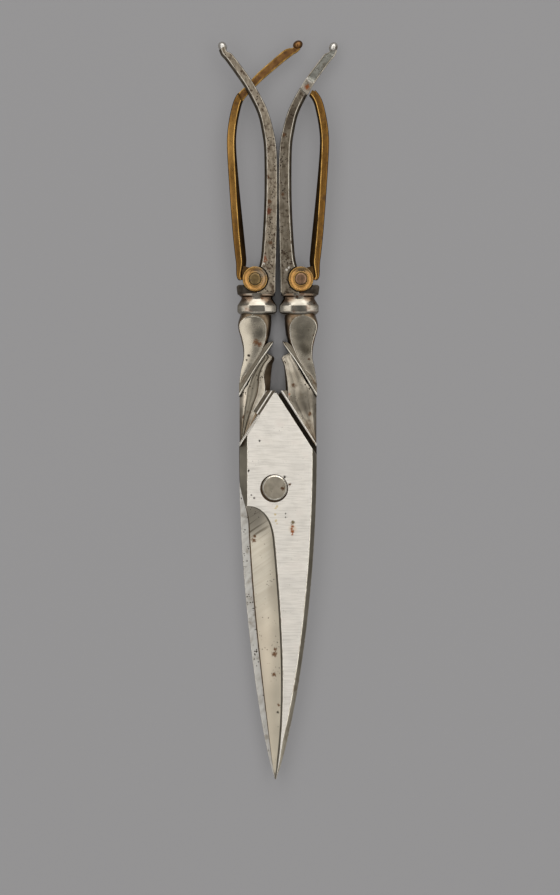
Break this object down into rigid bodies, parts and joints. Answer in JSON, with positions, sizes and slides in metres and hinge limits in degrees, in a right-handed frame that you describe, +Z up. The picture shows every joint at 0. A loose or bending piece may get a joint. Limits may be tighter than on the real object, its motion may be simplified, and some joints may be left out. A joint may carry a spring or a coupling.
{
  "type": "folding scissors",
  "caption": "Slim steel scissors with hollow-ground blades, carved shanks and finger bows that fold: a hinged brass arm swings out from each steel arm and hooks on to it.",
  "frame": {"origin": "on the blade pivot's axis, where the rear rivet head's flat face meets the surface the scissors lie on", "axes": "+Y runs along the closed blades from the points towards the finger bows, +Z is up from the surface, and +X points from the left handle to the right handle, seen from above"},
  "size_m": [0.0324, 0.1995, 0.008],
  "materials": {
    "blade_steel": "old ground and polished steel, fine cross grind lines, brown pits and small rust marks",
    "rivet_steel": "dull worn steel with a brown tint",
    "bow_brass": "filed brass with brown patina and bright worn edges",
    "washer_brass": "turned brass with brown patina in the dished face and a bright rim"
  },
  "bodies": {
    "front_half": {"front_blade_half": "blade_steel", "pivot_rivet": "rivet_steel"},
    "rear_half": {"rear_blade_half": "blade_steel"},
    "left_arm": {"left_bow_arm": "bow_brass", "left_hinge_rivet": "rivet_steel", "left_front_washer": "washer_brass", "left_rear_washer": "washer_brass"},
    "right_arm": {"right_bow_arm": "bow_brass", "right_hinge_rivet": "rivet_steel", "right_front_washer": "washer_brass", "right_rear_washer": "washer_brass"}
  },
  "joints": [
    {"name": "blade_pivot", "type": "hinge", "parent": "front_half", "child": "rear_half", "pos_m": [0, 0, 0.004], "axis": [0, 0, -1], "range_deg": [0, 80]},
    {"name": "left_arm_fold", "type": "hinge", "parent": "front_half", "child": "left_arm", "pos_m": [-0.00534, 0.05625, 0.004], "axis": [0, 0, 1], "range_deg": [0, 15]},
    {"name": "right_arm_fold", "type": "hinge", "parent": "rear_half", "child": "right_arm", "pos_m": [0.00706, 0.05625, 0.004], "axis": [0, 0, -1], "range_deg": [0, 15]}
  ]
}
